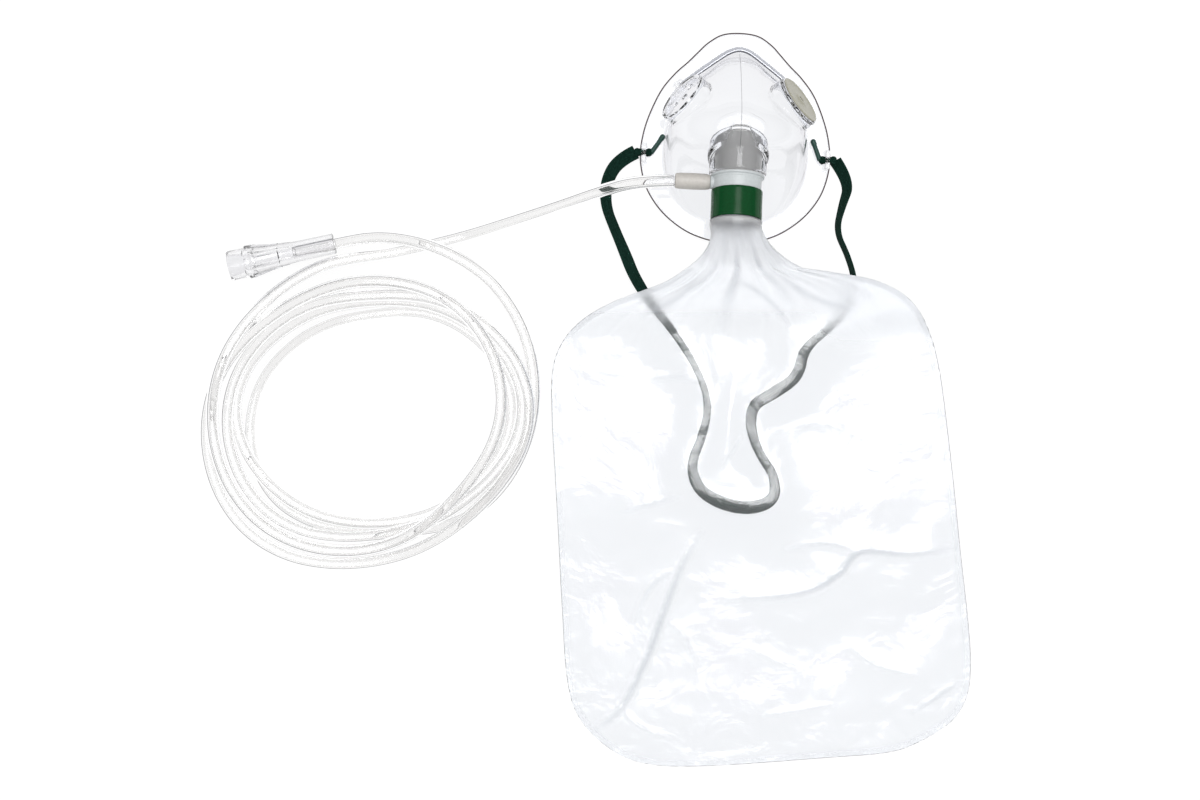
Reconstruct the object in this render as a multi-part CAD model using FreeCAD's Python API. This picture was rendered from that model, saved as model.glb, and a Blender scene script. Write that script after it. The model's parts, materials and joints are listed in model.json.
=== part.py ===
"""Non-rebreathing oxygen mask with reservoir bag, elastic head strap and coiled supply tubing.

The set lies as it is laid out on a table: mask rim down, bag flat, tubing coiled beside it.
Units are millimetres, +Z is up and Z = 0 is the table.  The origin is the bottom centre of the
set without its free cords.  The mask group is modelled in its own frame (u across the face,
v towards the nose, z up) and is then turned and moved to its place by in_place().
"""
import FreeCAD, Part
import math
import os

Vector = FreeCAD.Vector

# ---- mask: place on the table, wall and rim
MASK_PLACE = Vector(-12.4, 114.5, 0.0)
MASK_TURN = -2.5
WALL = 1.5
FLANGE_THICK = 1.6
RIM_HALF = [(0, 59.4), (8.5, 58.3), (15.0, 54.3), (19.5, 49.8), (24.0, 45.0), (30.0, 39.2), (36.0, 31.4),
            (40.6, 21.5), (43.6, 12.0), (45.0, 2.0), (44.2, -7.0), (41.2, -16.2), (35.6, -24.6),
            (28.5, -31.2), (20.0, -36.3), (10.0, -39.4), (0, -40.3)]
FOOT_HALF = [(0, 50.5), (6.5, 48.8), (13.0, 43.5), (20.0, 37.0), (26.5, 29.5), (31.0, 20.0), (33.5, 10.0),
             (34.0, 0), (33.0, -9.0), (30.0, -17.0), (24.5, -24.5), (17.0, -29.8), (8.0, -32.4), (0, -33.0)]
FOOT_HIGH = 50.5
FOOT_LOW = -33.0
# each level of the dome: height, width as a share of the foot's, lowest and highest v
DOME_LEVELS = [(0.3, 1.0, -33.0, 50.5), (10.0, 0.975, -21.5, 46.0), (20.0, 0.93, -10.5, 39.5),
               (30.0, 0.82, -4.0, 31.0), (37.5, 0.62, -0.5, 24.0), (42.0, 0.36, 2.5, 18.5),
               (44.0, 0.12, 7.0, 13.5)]

# ---- port of the mask and the turned parts on its axis; s runs out of the mask
PORT_AT = Vector(0, -10.7, 30.0)
PORT_RISE = 9.0
SOCKET_R = 13.3
SOCKET_DEPTH = 20.0
SPIGOT_R = 11.0
SPIGOT_LENGTH = 16.0
RUNNING_GAP = 0.05
BORE_R = 9.2
WAIST_R = 11.3
STOP_R = 12.4
BAG_SPIGOT_R = 10.6
BAG_SPIGOT_S = (7.4, 22.0)
LIP_S = (22.0, 24.0)
LIP_R = 11.8
BAND_S = (7.6, 21.2)
BAND_R = 11.8
FILM = 0.3

# ---- one-way valves
SEAT_S = (-13.5, -12.0)
SEAT_HUB_R = 2.6
SEAT_BAR = 1.4
DISC_CLEARANCE = 0.08
DISC_GAP = 0.05
DISC_THICK = 0.8
DISC_R = 8.3
STUD_R = 1.0
STUD_HEAD_R = 2.4
STUD_HEAD_S = (-16.25, -15.65)
VENT_AT = (25.0, 24.0, 22.0)
VENT_PLAN_ANGLE = 36.5
VENT_RISE = 21.0
VENT_R = 12.8
VENT_INNER_R = 11.3
VENT_STANDS = 3.5
VENT_BACK = -9.0
VENT_BORE_BACK = -14.0
VENT_HOLES = 6
VENT_HOLE_RING_R = 6.2
VENT_HOLE_R = 1.2
FLAP_R = 12.0
FLAP_STUD_R = 1.2
FLAP_HOLE_R = 1.3
FLAP_HOLE_SHARE = 0.75
FLAP_STUD_SHARE = 0.6
FLAP_THICK = 1.0

# ---- oxygen inlet on the side of the connector
INLET_S = 3.8
INLET_BOSS_R = 3.3
BARB_R = 2.0
BARB_BORE_R = 1.2
BARB_REACH = 24.0
BARB_START = 11.0
INLET_BOSS_START = 10.2
CUFF_R = 3.5
CUFF_REACH = (12.6, 28.8)
TUBE_CLEAR = 0.4

# ---- nose clip, ears and strap
CLIP_PATH = [(-26.2, 34.7), (-3.8, 51.6), (3.8, 51.6), (26.2, 34.7)]
CLIP_CORNER_R = 6.0
CLIP_THICK = 1.2
CLIP_TALL = 4.8
POST_SIZE = (4.0, 3.6, 5.2)
POST_EYE_SIZE = (1.8, 1.6, 8.0)
POST_SUNK = 0.3
POST_FOOT = 0.8
EAR_AT = (43.4, 0.7, 4.7)
EAR_SIZE = (2.2, 9.0, 7.4)
GATHER_R = 1.6
GATHER_REACH = (40.0, 46.8)
STRAP_THICK = 1.0
STRAP_WIDE = 7.0
STRAP_LIFT = 0.2
STRAP_ROUTE = [(-67.8, 113.6), (-73.5, 103.4), (-73.8, 92.0), (-69.2, 80.4), (-64.6, 69.6), (-60.0, 57.8),
               (-51.4, 44.6), (-40.0, 30.4), (-29.8, 13.6), (-24.6, -1.8), (-27.8, -17.0), (-33.6, -30.0),
               (-30.4, -42.2), (-18.4, -49.4), (-4.8, -51.6), (6.2, -47.6), (6.6, -36.4), (-0.8, -26.0),
               (-5.2, -14.0), (-4.6, -2.4), (6.6, 3.6), (17.6, 11.2), (20.0, 24.4), (31.6, 33.6),
               (41.6, 42.4), (44.6, 55.0), (41.0, 68.0), (35.2, 80.0), (38.2, 92.0), (42.0, 103.0)]
TIP_R = 1.2
TIP_LONG = 6.5
TIP_START = 2.2
TIP_WAYS = {-1: Vector(0.55, 0.83, 0.12), 1: Vector(-0.38, 0.92, 0.12)}

# ---- supply tubing and its end connector
TUBE_R = 3.0
TUBE_ROUTE = [(-59.4, 101.4, 29.0), (-78.4, 96.6, 22.5), (-98.4, 90.4, 12.5), (-118.4, 84.4, 5.6),
              (-138.4, 78.2, 3.1), (-158.4, 73.2, 3.1), (-174.4, 69.6, 3.1)]
COIL_CENTRE = (-183.3, -2.6)
TAIL_ROUTE = [(-138.0, 64.0, 10.8), (-150.0, 70.4, 10.8), (-165.0, 75.4, 10.0), (-183.0, 77.4, 8.4)]
# outer and inner radii of the coil at eight directions, from +Y turning towards -X
COIL_OUTER = [75.6, 71.8, 79.3, 86.0, 76.0, 71.8, 78.4, 83.3]
COIL_INNER = [40.6, 43.8, 55.0, 57.2, 52.2, 55.0, 57.8, 51.4]
COIL_TALL = 17.0
END_AT = Vector(-201.6, 73.8, 7.9)
END_TURN = 192.1
END_LONG = 50.6
END_PROFILE = [(0, 4.75), (20.0, 4.85), (31.5, 5.3), (40.2, 7.0), (40.6, 7.85), (41.8, 7.85), (42.2, 6.7),
               (50.6, 7.0)]
TUBE_INSERT = 19.7
END_NECK_R = 2.2
NIPPLE_R = 3.3
NIPPLE_FROM = 27.0
FUNNEL_FROM = 39.0
FUNNEL_R = 5.7

# ---- reservoir bag
BAG_OUTLINE = [(-35.8, 61.5), (-45.3, 55.5), (-56.6, 51.2), (-70.4, 46.0), (-84.2, 38.2), (-93.8, 28.0),
               (-98.8, 14.0), (-99.0, -10.0), (-96.8, -50.0), (-94.3, -100.0), (-92.0, -132.0),
               (-86.4, -150.5), (-72.4, -165.0), (-54.4, -172.6), (-24.4, -173.6), (33.2, -169.6),
               (59.1, -167.4), (73.6, -163.0), (89.6, -153.2), (97.2, -142.0), (99.5, -127.0),
               (98.2, -104.0), (94.2, -70.0), (88.0, -14.0), (83.8, 16.0), (78.4, 34.0), (68.6, 47.6),
               (53.6, 55.6), (33.6, 59.4), (18.1, 61.5)]
BAG_SIDE = 106.0
# bottom of the bag over the table, along Y: it comes down from the neck and lies over the strap
BAG_BOTTOM = [(61.5, 19.0), (50.0, 13.6), (40.0, 10.4), (25.0, 8.4), (0, 7.9), (-30.0, 7.9), (-52.0, 7.8),
              (-75.0, 3.4), (-95.0, 0.8), (-112.0, 0.15), (-145.0, 0.1), (-176.0, 0.1)]
AIR_GAP = 1.2
SEAM_WIDE = 2.4
BAG_MOUTH = ((-35.8, 18.1), 61.5)
# two points of the seam's inner line from a corner of the mouth, inside it and past it
MOUTH_CORNER = ((1.5, -2.6), (4.0, 6.0))
NECK_END_S = LIP_S[1] + 0.6
NECK_STEPS = 5
NECK_ARCH = 2.0
LIP_GAP = 0.1


def say(text):
    print(text, flush=True)


def in_place(shape):
    """Turns and moves a shape of the mask group to its place on the table."""
    placed = shape.copy()
    placed.rotate(Vector(0, 0, 0), Vector(0, 0, 1), MASK_TURN)
    placed.translate(MASK_PLACE)
    return placed


def mirrored(half):
    """Closed outline from its right half, listed from the top to the bottom."""
    left = [(-u, v) for u, v in reversed(half[1:-1])]
    return list(half) + left


def smooth_wire(points, z):
    curve = Part.BSplineCurve()
    curve.interpolate(Points=[Vector(x, y, z) for x, y in points], PeriodicFlag=True)
    return Part.Wire([curve.toShape()])


def prism(points, z, tall):
    return Part.Face(smooth_wire(points, z)).extrude(Vector(0, 0, tall))


def rod(start, direction, reach, radius):
    return Part.makeCylinder(radius, reach, start, direction)


def port_axis():
    rise = math.radians(PORT_RISE)
    return Vector(0, -math.cos(rise), math.sin(rise))


def port_point(s):
    return PORT_AT + port_axis() * s


def turned(span, radius):
    """Cylinder on the port axis between the two places s in span."""
    return rod(port_point(span[0]), port_axis(), span[1] - span[0], radius)


def vent_normal(side):
    plan = math.radians(VENT_PLAN_ANGLE)
    rise = math.radians(VENT_RISE)
    return Vector(side * math.cos(plan) * math.cos(rise), math.sin(plan) * math.cos(rise), math.sin(rise))


def vent_rod(side, start, end, radius):
    centre = Vector(side * VENT_AT[0], VENT_AT[1], VENT_AT[2])
    return rod(centre + vent_normal(side) * start, vent_normal(side), end - start, radius)


# ---- mask -------------------------------------------------------------------

def dome(inset):
    """Solid dome through its levels, drawn in by inset all round and from above."""
    wires = []
    middle = (FOOT_HIGH + FOOT_LOW) / 2
    half = (FOOT_HIGH - FOOT_LOW) / 2
    widest = max(u for u, v in FOOT_HALF)
    for z, share, low, high in DOME_LEVELS:
        shrink_v = inset * 1.25
        level_half = (high - low) / 2 - shrink_v
        if level_half < 1.5:
            break
        level_share = max(share - inset / widest, 0.06)
        level_middle = (high + low) / 2
        scaled = [(u * level_share, level_middle + (v - middle) * level_half / half) for u, v in FOOT_HALF]
        wires.append(smooth_wire(mirrored(scaled), max(z - inset, -0.1) if inset else z))
    return Part.makeLoft(wires, True, False)


def vent_holes(side):
    """Ring of small holes through a vent's end wall."""
    holes = []
    normal = vent_normal(side)
    across = normal.cross(Vector(0, 0, 1)).normalize()
    along = normal.cross(across)
    centre = Vector(side * VENT_AT[0], VENT_AT[1], VENT_AT[2])
    for i in range(VENT_HOLES):
        angle = 2 * math.pi * (i + 0.5) / VENT_HOLES
        at = centre + across * (VENT_HOLE_RING_R * math.cos(angle)) + along * (VENT_HOLE_RING_R * math.sin(angle))
        holes.append(rod(at, normal, VENT_STANDS + 1, VENT_HOLE_R))
    return holes


def ear(side):
    u, v, z = EAR_AT
    deep, broad, tall = EAR_SIZE
    block = Part.makeBox(deep, broad, tall, Vector(side * u - deep / 2, v - broad / 2, FLANGE_THICK - 0.4))
    hole = rod(Vector(side * u - deep, v, z), Vector(1, 0, 0), 2 * deep, GATHER_R + 2 * RUNNING_GAP)
    return block.cut(hole)


def clip_post(side):
    """Moulded loop that holds one end of the nose clip."""
    end_u, end_v = CLIP_PATH[-1]
    slope = math.atan2(CLIP_PATH[-2][1] - end_v, end_u - CLIP_PATH[-2][0])
    long, broad, tall = POST_SIZE
    eye_long, eye_broad, eye_tall = POST_EYE_SIZE
    eye_start = (long - eye_long) / 2 + RUNNING_GAP
    block = Part.makeBox(long, broad, tall, Vector(RUNNING_GAP, -broad / 2, FLANGE_THICK - POST_SUNK))
    eye = Part.makeBox(eye_long, eye_broad, eye_tall, Vector(eye_start, -eye_broad / 2, FLANGE_THICK + POST_FOOT))
    post = block.cut(eye)
    post.rotate(Vector(0, 0, 0), Vector(0, 0, 1), -math.degrees(slope))
    post.translate(Vector(end_u, end_v, 0))
    return post if side > 0 else post.mirror(Vector(0, 0, 0), Vector(1, 0, 0))


def mask_shell():
    outer = [prism(mirrored(RIM_HALF), 0, FLANGE_THICK)]
    outer.append(turned((-SOCKET_DEPTH, 0), SOCKET_R))
    cuts = [dome(WALL), turned((-SOCKET_DEPTH - 6, 1), SPIGOT_R + RUNNING_GAP)]
    added = []
    for side in (-1, 1):
        outer.append(vent_rod(side, VENT_BACK, VENT_STANDS, VENT_R))
        cuts.append(vent_rod(side, VENT_BORE_BACK, VENT_STANDS - WALL, VENT_INNER_R))
        cuts.extend(vent_holes(side))
        added.extend([ear(side), clip_post(side)])
    added.append(vent_rod(1, VENT_STANDS - WALL, VENT_STANDS + FLAP_THICK * FLAP_STUD_SHARE, FLAP_STUD_R))
    body = dome(0).fuse(outer)
    body = body.cut(cuts)
    return body.fuse(added).removeSplitter()


def nose_clip():
    """Soft aluminium strip bent to a V over the nose."""
    wire = route_wire([Vector(u, v, FLANGE_THICK + CLIP_TALL / 2) for u, v in CLIP_PATH])
    return in_place(strip(wire, CLIP_THICK, CLIP_TALL))


def exhalation_flap():
    start = VENT_STANDS + DISC_GAP
    disc = vent_rod(1, start, start + FLAP_THICK, FLAP_R)
    stud_room = vent_rod(1, start - 0.1, start + FLAP_THICK * FLAP_HOLE_SHARE, FLAP_HOLE_R)
    return disc.cut(stud_room)


# ---- connector ----------------------------------------------------------------

def connector_body():
    lengths = [turned((-SPIGOT_LENGTH, 0.3), SPIGOT_R), turned((0.3, 1.4), STOP_R),
               turned((1.4, BAG_SPIGOT_S[0]), WAIST_R), turned(BAG_SPIGOT_S, BAG_SPIGOT_R), turned(LIP_S, LIP_R)]
    inlet = port_point(INLET_S)
    out = Vector(-1, 0, 0)
    boss = rod(inlet + out * INLET_BOSS_START, out, CUFF_REACH[0] - INLET_BOSS_START, INLET_BOSS_R)
    barb = rod(inlet + out * BARB_START, out, BARB_REACH - BARB_START, BARB_R)
    body = lengths[0].fuse(lengths[1:] + [boss, barb])
    bores = [turned((-SPIGOT_LENGTH - 1, LIP_S[1] + 1), BORE_R), rod(inlet, out, BARB_REACH + 1, BARB_BORE_R)]
    return body.cut(bores).removeSplitter()


def inlet_cuff():
    inlet = port_point(INLET_S)
    out = Vector(-1, 0, 0)
    reach = CUFF_REACH[1] - CUFF_REACH[0]
    sleeve = rod(inlet + out * CUFF_REACH[0], out, reach, CUFF_R)
    return sleeve.cut(rod(inlet + out * (CUFF_REACH[0] - 1), out, reach + 2, BARB_R + RUNNING_GAP))


def valve_seat():
    """Spider with a hub and four arms that the inhalation disc closes on."""
    ring = turned(SEAT_S, BORE_R).cut(turned(SEAT_S, BORE_R - SEAT_BAR))
    hub = turned(SEAT_S, SEAT_HUB_R)
    arms = []
    for i in range(2):
        arm = Part.makeBox(2 * BORE_R - SEAT_BAR, SEAT_BAR, SEAT_S[1] - SEAT_S[0],
                           Vector(-BORE_R + SEAT_BAR / 2, -SEAT_BAR / 2, 0))
        arm.rotate(Vector(0, 0, 0), Vector(0, 0, 1), 90 * i)
        arm.rotate(Vector(0, 0, 0), Vector(1, 0, 0), 90 - PORT_RISE)
        arm.translate(port_point(SEAT_S[0]))
        arms.append(arm)
    spider = ring.fuse([hub] + arms)
    return spider.cut(turned((SEAT_S[0] - 1, SEAT_S[1] + 1), STUD_R)).removeSplitter()


def valve_stud():
    return turned((STUD_HEAD_S[0], SEAT_S[1]), STUD_R).fuse(turned(STUD_HEAD_S, STUD_HEAD_R)).removeSplitter()


def inhalation_disc():
    span = (SEAT_S[0] - DISC_GAP - DISC_THICK, SEAT_S[0] - DISC_GAP)
    return turned(span, DISC_R).cut(turned((span[0] - 1, span[1] + 1), STUD_R + DISC_CLEARANCE))


def neck_band():
    return turned(BAND_S, BAND_R).cut(turned(BAND_S, BAG_SPIGOT_R + RUNNING_GAP + FILM))


# ---- strips and tubes ---------------------------------------------------------

def route_wire(points):
    """Straight runs joined by tangent arcs, each as large as its two runs allow."""
    edges = []
    last = points[0]
    radii = []
    for before, here, after in zip(points, points[1:], points[2:]):
        back = (before - here).normalize()
        ahead = (after - here).normalize()
        half_turn = (math.pi - back.getAngle(ahead)) / 2
        if half_turn < 0.005:
            continue
        reach = 0.45 * min((before - here).Length, (after - here).Length)
        radius = reach / math.tan(half_turn)
        radii.append(radius)
        inward = (back + ahead).normalize()
        centre = here + inward * (radius / math.cos(half_turn))
        enter = here + back * reach
        leave = here + ahead * reach
        edges.append(Part.LineSegment(last, enter).toShape())
        edges.append(Part.Arc(enter, centre - inward * radius, leave).toShape())
        last = leave
    edges.append(Part.LineSegment(last, points[-1]).toShape())
    wire = Part.Wire(edges)
    say("route: length %.1f, tightest arc radius %.1f" % (wire.Length, min(radii)))
    return wire


def compare_volume(name, solid, section, wire):
    say("%s: volume %.0f, section times length %.0f" % (name, solid.Volume, section * wire.Length))


def start_of(wire):
    edge = wire.OrderedEdges[0]
    return edge.valueAt(edge.FirstParameter), edge.tangentAt(edge.FirstParameter)


def strip(wire, thick, tall):
    """Flat strip on its edge along a level wire."""
    start, ahead = start_of(wire)
    side = ahead.cross(Vector(0, 0, 1)) * (thick / 2)
    up = Vector(0, 0, tall / 2)
    corners = [start - side - up, start + side - up, start + side + up, start - side + up]
    profile = Part.makePolygon(corners + corners[:1])
    solid = wire.makePipeShell([profile], True, False)
    compare_volume("strip", solid, thick * tall, wire)
    return solid


def tube(points, radius):
    wire = route_wire(points)
    start, ahead = start_of(wire)
    profile = Part.Wire([Part.makeCircle(radius, start, ahead)])
    solid = wire.makePipeShell([profile], True, False)
    compare_volume("tube", solid, math.pi * radius ** 2, wire)
    return solid


def local_point(u, v, z):
    placed = in_place(Part.Vertex(Vector(u, v, z)))
    return placed.Point


def strap():
    """Elastic band on its edge, with a gathered round end through each ear."""
    u, v, z = EAR_AT
    height = STRAP_LIFT + STRAP_WIDE / 2
    ends = [local_point(side * GATHER_REACH[1], v, height) for side in (-1, 1)]
    points = [ends[0]] + [Vector(x, y, height) for x, y in STRAP_ROUTE] + [ends[1]]
    band = strip(route_wire(points), STRAP_THICK, STRAP_WIDE)
    gathers = []
    for side in (-1, 1):
        start = local_point(side * GATHER_REACH[0], v, z)
        end = local_point(side * (GATHER_REACH[1] + 0.6), v, z)
        gathers.append(rod(start, end - start, (end - start).Length, GATHER_R))
    return band.fuse(gathers).removeSplitter()


def strap_tip(side):
    """Hard round end of the strap, inboard of the ear and pointing towards the nose."""
    u, v, z = EAR_AT
    base = Vector(side * (GATHER_REACH[0] - 0.2), v, z)
    ahead = Vector(TIP_WAYS[side]).normalize()
    corner = Vector(TIP_R, 0, TIP_LONG)
    top = Vector(0, 0, TIP_LONG + TIP_R)
    shoulder = Vector(TIP_R * math.sin(math.pi / 4), 0, TIP_LONG + TIP_R * math.cos(math.pi / 4))
    edges = [Part.LineSegment(Vector(0, 0, 0), Vector(TIP_R, 0, 0)).toShape(),
             Part.LineSegment(Vector(TIP_R, 0, 0), corner).toShape(),
             Part.Arc(corner, shoulder, top).toShape(),
             Part.LineSegment(top, Vector(0, 0, 0)).toShape()]
    tip = Part.Face(Part.Wire(edges)).revolve(Vector(0, 0, 0), Vector(0, 0, 1), 360)
    tip.Placement = FreeCAD.Placement(base + ahead * TIP_START, FreeCAD.Rotation(Vector(0, 0, 1), ahead))
    return tip


# ---- tubing and coil ------------------------------------------------------------

def coil_ring_outline(radii):
    points = []
    for i, radius in enumerate(radii):
        angle = math.radians(90 + 45 * i)
        points.append((COIL_CENTRE[0] + radius * math.cos(angle), COIL_CENTRE[1] + radius * math.sin(angle)))
    return points


def supply_tube_coil():
    outer = prism(coil_ring_outline(COIL_OUTER), 0, COIL_TALL)
    return outer.cut(prism(coil_ring_outline(COIL_INNER), -1, COIL_TALL + 2))


def supply_tube_lead(coil):
    inlet = port_point(INLET_S)
    start = local_point(inlet.x - CUFF_REACH[1] - TUBE_CLEAR, inlet.y, inlet.z)
    points = [start] + [Vector(*place) for place in TUBE_ROUTE]
    whole = tube(points, TUBE_R).cut(coil)
    return max(whole.Solids, key=lambda piece: piece.Volume)


def end_direction():
    turn = math.radians(END_TURN)
    return Vector(math.cos(turn), math.sin(turn), 0)


def supply_tube_tail(coil):
    ahead = end_direction()
    points = [Vector(*place) for place in TAIL_ROUTE] + [END_AT, END_AT + ahead * TUBE_INSERT]
    whole = tube(points, TUBE_R).cut(coil)
    return max(whole.Solids, key=lambda piece: piece.Volume)


def end_connector():
    """Soft funnel that pushes over a flowmeter nipple."""
    corners = [Vector(0, 0, 0)] + [Vector(x, 0, r) for x, r in END_PROFILE] + [Vector(END_LONG, 0, 0)]
    blank = Part.Face(Part.makePolygon(corners + corners[:1])).revolve(Vector(0, 0, 0), Vector(1, 0, 0), 360)
    along = Vector(1, 0, 0)
    cuts = [rod(Vector(-1, 0, 0), along, TUBE_INSERT + 1, TUBE_R), rod(Vector(0, 0, 0), along, END_LONG, END_NECK_R),
            rod(Vector(NIPPLE_FROM, 0, 0), along, END_LONG, NIPPLE_R),
            Part.makeCone(NIPPLE_R, FUNNEL_R, END_LONG - FUNNEL_FROM, Vector(FUNNEL_FROM, 0, 0), along)]
    piece = blank.cut(cuts)
    piece.rotate(Vector(0, 0, 0), Vector(0, 0, 1), END_TURN)
    piece.translate(END_AT)
    return piece


# ---- bag ------------------------------------------------------------------------

def bag_layer(low, high):
    """Slab that follows the bag's bottom line between two heights over it, as wide as the bag."""
    curve = Part.BSplineCurve()
    curve.interpolate([Vector(-BAG_SIDE, y, z + low) for y, z in BAG_BOTTOM])
    sheet = curve.toShape().extrude(Vector(2 * BAG_SIDE, 0, 0))
    return sheet.extrude(Vector(0, 0, high - low))


def bag_outline(inset):
    """The bag's edge, or the same line moved inwards and let out past the mouth."""
    if not inset:
        return BAG_OUTLINE
    moved = []
    for before, here, after in zip(BAG_OUTLINE, BAG_OUTLINE[1:], BAG_OUTLINE[2:]):
        along = Vector(after[0] - before[0], after[1] - before[1], 0).normalize()
        moved.append((here[0] - along.y * inset, here[1] + along.x * inset))
    (left, right), mouth_y = BAG_MOUTH
    in_side, past = MOUTH_CORNER
    left_end = [(left + past[0], mouth_y + past[1]), (left + in_side[0], mouth_y + in_side[1])]
    right_end = [(right - in_side[0], mouth_y + in_side[1]), (right - past[0], mouth_y + past[1])]
    return left_end + moved + right_end


def bag_plan(inset):
    """Prism of the bag's outline, straight across the mouth."""
    curve = Part.BSplineCurve()
    curve.interpolate([Vector(x, y, -5) for x, y in bag_outline(inset)])
    mouth = Part.LineSegment(curve.EndPoint, curve.StartPoint).toShape()
    return Part.Face(Part.Wire([curve.toShape(), mouth])).extrude(Vector(0, 0, 50))


def bag_film(rise):
    return bag_layer(rise, rise + FILM).common(bag_plan(0))


def bag_seam():
    """Heat-sealed edge between the two films, open at the mouth."""
    return bag_plan(0).cut(bag_plan(SEAM_WIDE)).common(bag_layer(FILM, FILM + AIR_GAP))


def oval(centre, across, up, wide, tall):
    """Closed smooth oval in the plane of across and up."""
    points = []
    for i in range(16):
        angle = 2 * math.pi * i / 16
        points.append(centre + across * (wide * math.cos(angle)) + up * (tall * math.sin(angle)))
    curve = Part.BSplineCurve()
    curve.interpolate(Points=points, PeriodicFlag=True)
    return Part.Wire([curve.toShape()])


def neck_skin(grow, overrun):
    """Solid from the sleeve on the connector, over its lip, down to the flat mouth of the bag."""
    (left, right), mouth_y = BAG_MOUTH
    top = local_point(*port_point(NECK_END_S))
    ahead = local_point(*port_point(NECK_END_S + 1)) - top
    across = Vector(-ahead.y, ahead.x, 0).normalize()
    up = ahead.cross(across)
    tight_r = BAG_SPIGOT_R + RUNNING_GAP
    round_r = LIP_R + LIP_GAP
    sleeve = [(BAND_S[0] - overrun, tight_r), (LIP_S[0] - 0.6, tight_r), (LIP_S[0] - 0.3, round_r),
              (NECK_END_S, round_r)]
    ovals = [oval(local_point(*port_point(s)), across, up, r + grow, r + grow) for s, r in sleeve]
    mouth = Vector((left + right) / 2, mouth_y, BAG_BOTTOM[0][1] + FILM + AIR_GAP / 2)
    for step in range(1, NECK_STEPS + 1):
        t = step / NECK_STEPS
        centre = top + (mouth - top) * t + Vector(0, 0, NECK_ARCH * math.sin(math.pi * t))
        wide = round_r + ((right - left) / 2 - FILM - round_r) * t ** 1.3
        tall = round_r + (AIR_GAP / 2 - round_r) * t ** 0.85
        turned_across = across * (1 - t) + Vector(1, 0, 0) * t
        turned_up = up * (1 - t) + Vector(0, 0, 1) * t
        ovals.append(oval(centre, turned_across, turned_up, wide + grow, tall + grow))
    if overrun:
        past = mouth - Vector(0, overrun, 0)
        ovals.append(oval(past, Vector(1, 0, 0), Vector(0, 0, 1), wide, tall))
    return Part.makeLoft(ovals, True, True)


def bag_neck():
    return neck_skin(FILM, 0).cut(neck_skin(0, 1.0))


def build():
    coil = supply_tube_coil()
    return {
        "mask_shell": in_place(mask_shell()),
        "nose_clip": nose_clip(),
        "exhalation_flap": in_place(exhalation_flap()),
        "connector_body": in_place(connector_body()),
        "inlet_cuff": in_place(inlet_cuff()),
        "valve_seat": in_place(valve_seat()),
        "valve_stud": in_place(valve_stud()),
        "inhalation_disc": in_place(inhalation_disc()),
        "neck_band": in_place(neck_band()),
        "bag_neck": bag_neck(),
        "bag_back_film": bag_film(0),
        "bag_front_film": bag_film(FILM + AIR_GAP),
        "bag_seam": bag_seam(),
        "head_strap": strap(),
        "strap_tip_left": in_place(strap_tip(-1)),
        "strap_tip_right": in_place(strap_tip(1)),
        "supply_tube_lead": supply_tube_lead(coil),
        "supply_tube_coil": coil,
        "supply_tube_tail": supply_tube_tail(coil),
        "end_connector": end_connector(),
    }


os.makedirs("parts", exist_ok=True)
for name, shape in build().items():
    box = shape.optimalBoundingBox()
    say("%-18s solids %d valid %s volume %8.1f  x %.2f..%.2f y %.2f..%.2f z %.2f..%.2f"
        % (name, len(shape.Solids), shape.isValid(), shape.Volume, box.XMin, box.XMax, box.YMin, box.YMax,
           box.ZMin, box.ZMax))
    shape.exportStep("parts/%s.step" % name)
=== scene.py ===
"""Looks of the non-rebreathing oxygen mask, its reservoir bag, head strap and coiled tubing.

The object's places are worked out in millimetres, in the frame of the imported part, and turned to
metres by MM. The stage, the lamp and the camera are in metres. The mask group has its own frame
(u across the face, v towards the nose, z up), which in_mask() places.
"""
import bpy
import json
import math
import numpy as np
from mathutils import Matrix, Vector
from mathutils.bvhtree import BVHTree


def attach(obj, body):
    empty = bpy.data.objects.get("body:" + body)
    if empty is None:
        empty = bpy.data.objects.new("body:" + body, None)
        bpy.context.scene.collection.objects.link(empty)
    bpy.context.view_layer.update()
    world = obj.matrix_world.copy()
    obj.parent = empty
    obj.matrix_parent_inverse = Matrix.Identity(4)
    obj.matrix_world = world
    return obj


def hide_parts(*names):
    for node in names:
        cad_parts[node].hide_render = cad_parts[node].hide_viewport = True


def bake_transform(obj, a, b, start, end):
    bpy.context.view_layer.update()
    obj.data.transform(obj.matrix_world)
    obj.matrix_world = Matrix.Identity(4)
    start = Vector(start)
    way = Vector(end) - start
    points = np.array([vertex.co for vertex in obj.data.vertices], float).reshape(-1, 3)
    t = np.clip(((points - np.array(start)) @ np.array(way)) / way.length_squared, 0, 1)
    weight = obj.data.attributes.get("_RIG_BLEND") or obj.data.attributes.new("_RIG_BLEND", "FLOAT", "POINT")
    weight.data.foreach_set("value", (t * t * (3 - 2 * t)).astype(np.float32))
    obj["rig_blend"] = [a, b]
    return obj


MM = 0.001
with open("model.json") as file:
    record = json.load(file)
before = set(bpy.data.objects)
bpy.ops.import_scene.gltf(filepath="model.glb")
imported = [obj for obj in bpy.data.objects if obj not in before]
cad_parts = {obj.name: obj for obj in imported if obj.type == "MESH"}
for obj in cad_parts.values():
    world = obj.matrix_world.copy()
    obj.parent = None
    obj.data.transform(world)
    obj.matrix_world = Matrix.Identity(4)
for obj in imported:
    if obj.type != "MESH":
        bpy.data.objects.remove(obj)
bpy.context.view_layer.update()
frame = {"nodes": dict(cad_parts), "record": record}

# ---- the mask group's frame, as in the CAD source
MASK_PLACE = (-12.4, 114.5)
MASK_TURN = math.radians(-2.5)
PORT_AT = (0.0, -10.7, 30.0)
PORT_RISE = math.radians(9.0)
VENT_AT = (25.0, 24.0, 22.0)
VENT_PLAN_ANGLE = math.radians(36.5)
VENT_RISE = math.radians(21.0)
EAR_AT = (43.4, 0.7, 4.7)
INLET_S = 3.8
FLANGE_TOP = 1.65
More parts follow.
